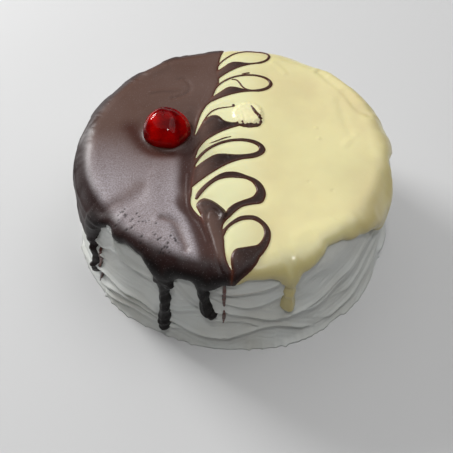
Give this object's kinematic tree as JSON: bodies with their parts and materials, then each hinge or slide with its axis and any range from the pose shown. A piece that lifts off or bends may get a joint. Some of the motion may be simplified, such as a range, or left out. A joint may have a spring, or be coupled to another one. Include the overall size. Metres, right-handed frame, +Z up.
{
  "type": "glazed cream cake",
  "caption": "Round uncut cake in ridged whipped cream, glazed half dark and half white, with feathered loops, drips and a cherry on top.",
  "frame": {"origin": "middle of the flat base", "axes": "+Z up; the join between the two glazes runs along Y, the dark glaze is on the -X side, and -Y is the front of the picture"},
  "size_m": [0.1713, 0.1712, 0.074],
  "materials": {
    "cream": "satin whipped cream",
    "dark_chocolate": "soft gloss set glaze",
    "white_chocolate": "soft gloss set glaze",
    "glace_cherry": "wet gloss syrup"
  },
  "bodies": {
    "root": {"cream_cake": "cream", "dark_glaze": "dark_chocolate", "white_glaze": "white_chocolate", "cherry": "glace_cherry"}
  },
  "joints": []
}
